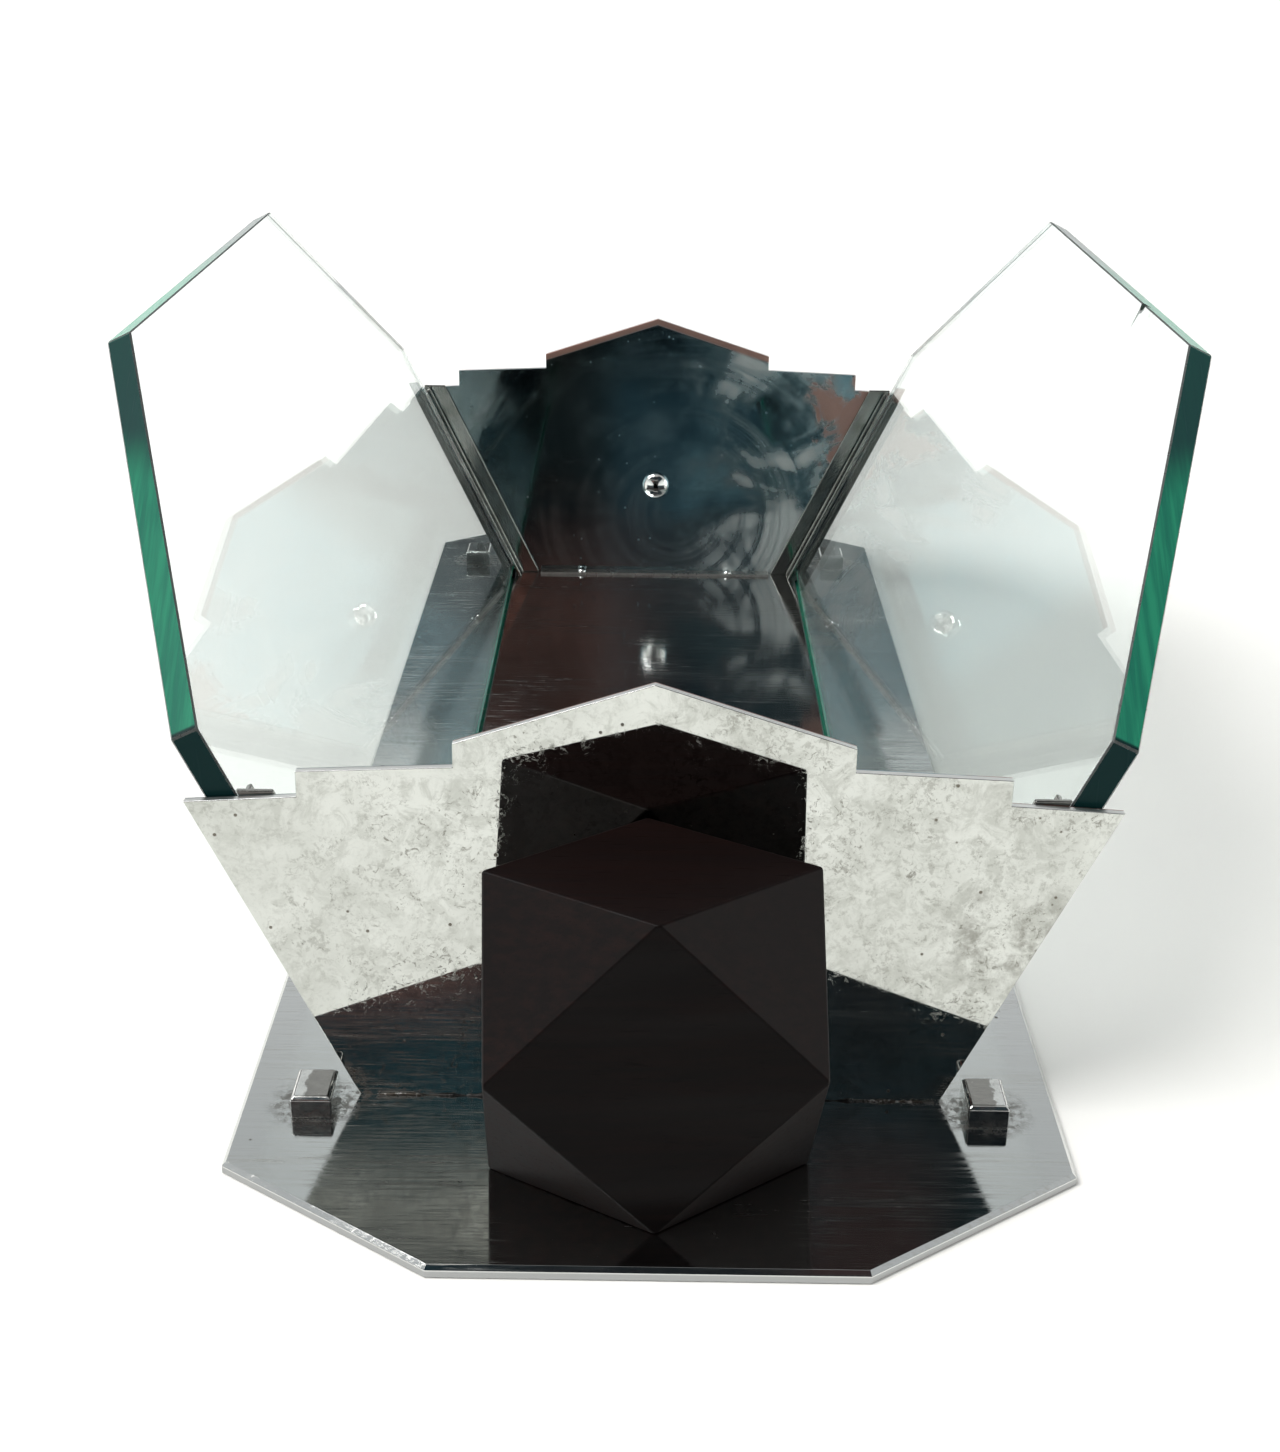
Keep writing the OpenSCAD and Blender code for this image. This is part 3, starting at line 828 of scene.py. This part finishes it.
stageLook = {  # metres and degrees; the sky's stops run from the horizon to overhead
    "floor": (0.95, 0.935, 0.90), "worn": (0.88, 0.87, 0.84), "floorSize": 14.0, "sky": 1.0,
    "key": 2.6, "softness": 38, "keyWay": (0.62, 0.25, -1.0), "stops": [
        (0.0, (1.25, 1.25, 1.25)), (0.30, (1.05, 1.05, 1.05)),
        (0.55, (0.53, 0.55, 0.555)), (1.0, (0.43, 0.44, 0.44)),
    ],
}


def makeFloor():
    look = stageLook
    f = Finish("paleFloor")
    f.set(Base_Color=f.mix(f.noise(400, 2) * 0.06, look["floor"], look["worn"]), Roughness=0.9)
    floor = newPiece("floor", bpy.data.meshes.new("floor"))
    work = bmesh.new()
    bmesh.ops.create_circle(work, cap_ends=True, segments=96, radius=look["floorSize"])
    work.to_mesh(floor.data)
    work.free()
    floor.data.materials.append(f.material)
    floor.location.z = -0.2 * mm  # just under the base
    floor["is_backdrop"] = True


def makeSky():  # bright low down, greyer overhead
    world = bpy.data.worlds.new("studio")
    bpy.context.scene.world = world
    world.use_nodes = True
    sky = Graph(world.node_tree)
    where = sky.add("ShaderNodeTexCoord", output="Generated")
    height = sky.add("ShaderNodeSeparateXYZ", None, {0: where}).other("Z")
    colour = sky.add("ShaderNodeValToRGB", {"stops": stageLook["stops"]}, {0: height})
    background = world.node_tree.nodes["Background"]
    sky.plug(background.inputs["Color"], colour)
    background.inputs["Strength"].default_value = stageLook["sky"]


darkRoom = {  # the unlit room behind the camera; a band gives the heights of what is reflected
    "radius": 3.0, "from": -68, "to": 68, "low": 4, "high": 66,  # metres and degrees
    "brownBand": (0.93, 1.02, 1.22, 1.40), "greyBand": (0.55, 0.75, 1.22, 1.40),
    "tealBand": (1.40, 1.47, 1.64, 1.74), "streakBand": (1.34, 1.38, 1.40, 1.45),
    "duskBand": (1.62, 1.73, 1.73, 1.83), "plumFrom": (1.60, 1.66),
    "black": (0.004, 0.007, 0.010), "teal": (0.009, 0.044, 0.060), "brown": (0.30, 0.132, 0.108),
    "grey": (0.12, 0.115, 0.11), "plum": (0.050, 0.020, 0.018), "dusk": (0.80, 0.78, 0.73),
}
dimWall = {  # the walls on the other sides
    "radius": 3.2, "from": 68, "to": 292, "low": 7, "high": 22.5,
    "dim": (0.10, 0.11, 0.12), "lit": (0.24, 0.25, 0.255),
}


def makeCard(look, name, material):  # part of a dome round the object, seen only in polished surfaces
    card = newPiece(name, bpy.data.meshes.new(name))
    work = bmesh.new()
    rows, columns = 12, 24
    grid = []
    for row in range(rows + 1):
        up = math.radians(look["low"] + (look["high"] - look["low"]) * row / rows)
        line = []
        for column in range(columns + 1):
            about = math.radians(look["from"] + (look["to"] - look["from"]) * column / columns)
            flat = look["radius"] * math.cos(up)
            place = (flat * math.sin(about), -flat * math.cos(about), look["radius"] * math.sin(up))
            line.append(work.verts.new(place))
        grid.append(line)
    for row in range(rows):
        for column in range(columns):
            near, far = grid[row], grid[row + 1]
            work.faces.new((near[column], near[column + 1], far[column + 1], far[column]))
    work.to_mesh(card.data)
    work.free()
    card.data.shade_smooth()
    card.data.materials.append(material)
    card.visible_camera = False
    card.visible_diffuse = False
    card.visible_shadow = False
    card.visible_transmission = False
    card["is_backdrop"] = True


def roomFinish(look):
    f = Finish("darkRoom", Base_Color=(0, 0, 0), Roughness=1.0, Emission_Strength=1.0)
    across, level = f.axes()[::2]
    tone = f.mix(f.noise(500, 4, 0.6).ease(0.42, 0.62) * 0.6, look["black"], look["teal"])
    # brown and grey show in the floor of the trough
    brown = between(level, *look["brownBand"]) * between(across, -1.3, -0.8, -0.12, 0.10)
    brown = brown * f.noise(420, 4, 0.6, 0.5, shift=(2, 1, 0)).ease(0.34, 0.56)
    tone = f.mix(brown, tone, look["brown"])
    grey = between(level, *look["greyBand"]) * across.ease(-0.05, 0.15)
    grey = grey * f.noise(300, 4, 0.6, 0.6, shift=(4, 3, 0)).ease(0.40, 0.66)
    tone = f.mix(grey, tone, look["grey"])
    # the others show in the front of the base
    teal = between(level, *look["tealBand"]) * across.ease(-0.10, -0.22)
    tone = f.mix(teal * f.noise(200, 3, 0.6).ease(0.25, 0.5), tone, look["teal"])
    streak = between(level, *look["streakBand"]) * across.ease(-0.18, -0.36)
    tone = f.mix(streak, tone, look["brown"])
    plum = level.ease(*look["plumFrom"]) * between(across, 0.20, 0.28, 0.42, 0.50)
    tone = f.mix(plum * 0.7, tone, look["plum"])
    strokes = f.noise(70, 5, 0.7, 0.6, scale=(0.25, 1, 1.6), turn=(0, 0.25, 0)).ease(0.30, 0.60)
    dusk = between(level, *look["duskBand"]) * across.ease(0.0, -0.2) * strokes
    tone = f.mix(dusk, tone, look["dusk"])
    return f.set(Emission_Color=tone).material


def wallFinish(look):
    f = Finish("dimWall", Base_Color=(0, 0, 0), Roughness=1.0, Emission_Strength=1.0)
    tone = f.mix(f.noise(900, 3, 0.6).ease(0.4, 0.65), look["dim"], look["lit"])
    return f.set(Emission_Color=tone).material


def makeLamp():  # broad and soft, high on the left
    lamp = bpy.data.lights.new("keyLamp", "SUN")
    lamp.energy = stageLook["key"]
    lamp.angle = math.radians(stageLook["softness"])
    hung = newPiece("keyLamp", lamp)
    hung.rotation_euler = Vector(stageLook["keyWay"]).to_track_quat("-Z", "Y").to_euler()


cameraLook = {  # metres and degrees
    "place": (-0.00076, -0.43833, 0.19646), "yaw": 0.31, "pitch": -22.91, "roll": -0.63, "lens": 49.78,
}


def makeCamera():
    look = cameraLook
    camera = bpy.data.cameras.new("camera")
    camera.sensor_width = 36
    camera.lens = look["lens"]
    camera.clip_start = 0.01
    stand = newPiece("camera", camera)
    turn = Matrix.Identity(4)
    for angle, axis in ((look["yaw"], "Z"), (look["pitch"], "X"), (look["roll"], "Y"), (90, "X")):
        turn = turn @ Matrix.Rotation(math.radians(angle), 4, axis)
    stand.matrix_world = Matrix.Translation(look["place"]) @ turn
    bpy.context.scene.camera = stand


makeFloor()
makeSky()
makeCard(darkRoom, "dark_room", roomFinish(darkRoom))
makeCard(dimWall, "dim_wall", wallFinish(dimWall))
makeLamp()
makeCamera()
bpy.context.scene.view_settings.view_transform = "Standard"
print("stage, light and camera set")

low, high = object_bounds()
